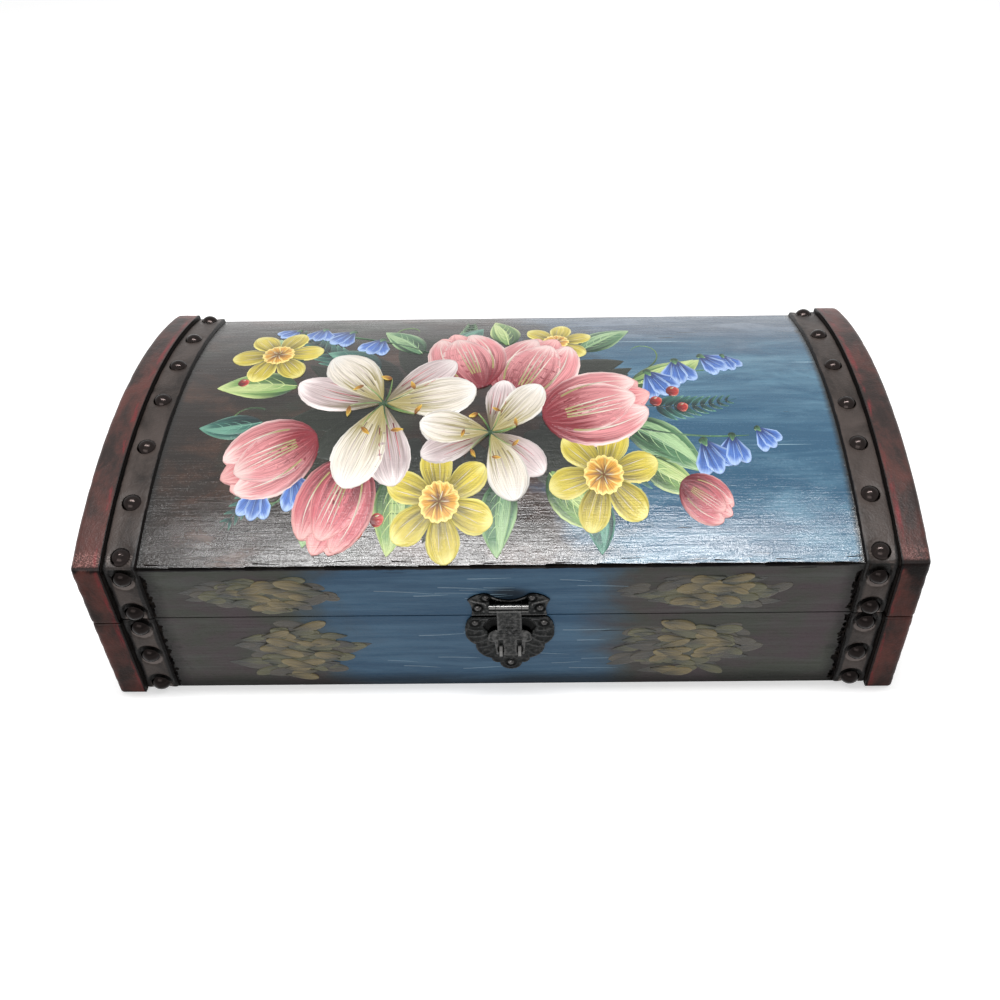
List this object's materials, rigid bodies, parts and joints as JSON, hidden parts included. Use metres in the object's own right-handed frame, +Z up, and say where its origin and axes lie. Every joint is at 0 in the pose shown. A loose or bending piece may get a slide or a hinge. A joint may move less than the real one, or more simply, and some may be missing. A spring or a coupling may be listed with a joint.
{
  "type": "dome-top wooden box",
  "caption": "Low wooden box with a hinged dome lid, painted panels, studded straps beside leather-covered ends and a front hasp latch.",
  "frame": {"origin": "middle of the box's flat underside", "axes": "+X along the box to the right as seen from the latch, +Y from the latch to the hinges, +Z up"},
  "size_m": [0.3, 0.1641, 0.0841],
  "materials": {
    "painted_wood": "painted in oils over a dark ground and varnished",
    "end_board": "bare board under its covering",
    "bottom_board": "stained dark",
    "end_leatherette": "burgundy, blackened at the edges, semi-gloss",
    "strap_leatherette": "dark brown with black edges",
    "stud_bronze": "near black, polished on the crown",
    "latch_metal": "blackened, worn light on edges",
    "hinge_metal": "blackened, worn light on edges",
    "nail_metal": "blackened",
    "felt": "dark red felt"
  },
  "bodies": {
    "base": {"base_back_left_strap": "strap_leatherette", "base_back_panel": "painted_wood", "base_back_right_strap": "strap_leatherette", "base_bottom_panel": "bottom_board", "base_floor_lining": "felt", "base_front_left_strap": "strap_leatherette", "base_front_panel": "painted_wood", "base_front_right_strap": "strap_leatherette", "base_left_cover": "end_leatherette", "base_left_end": "end_board", "base_left_studs": "stud_bronze", "base_right_cover": "end_leatherette", "base_right_end": "end_board", "base_right_studs": "stud_bronze", "base_wall_lining": "felt", "latch_lower_nails": "nail_metal", "latch_lower_plate": "latch_metal", "left_hinge_base_leaf": "hinge_metal", "left_hinge_base_nails": "nail_metal", "left_hinge_pin": "hinge_metal", "right_hinge_base_leaf": "hinge_metal", "right_hinge_base_nails": "nail_metal", "right_hinge_pin": "hinge_metal"},
    "lid": {"latch_pin": "latch_metal", "latch_upper_nails": "nail_metal", "latch_upper_plate": "latch_metal", "left_hinge_lid_leaf": "hinge_metal", "left_hinge_lid_nails": "nail_metal", "lid_back_rail": "painted_wood", "lid_front_rail": "painted_wood", "lid_left_cover": "end_leatherette", "lid_left_end": "end_board", "lid_left_strap": "strap_leatherette", "lid_left_studs": "stud_bronze", "lid_lining": "felt", "lid_right_cover": "end_leatherette", "lid_right_end": "end_board", "lid_right_strap": "strap_leatherette", "lid_right_studs": "stud_bronze", "lid_top_panel": "painted_wood", "right_hinge_lid_leaf": "hinge_metal", "right_hinge_lid_nails": "nail_metal"},
    "hasp": {"latch_hasp": "latch_metal"}
  },
  "joints": [
    {"name": "lid_hinge", "type": "hinge", "parent": "base", "child": "lid", "pos_m": [0, 0.0804, 0.04025], "axis": [-1, 0, 0], "range_deg": [0, 105]},
    {"name": "hasp_hinge", "type": "hinge", "parent": "lid", "child": "hasp", "pos_m": [0.0028, -0.0796, 0.0468], "axis": [-1, 0, 0], "range_deg": [0, 165]}
  ]
}
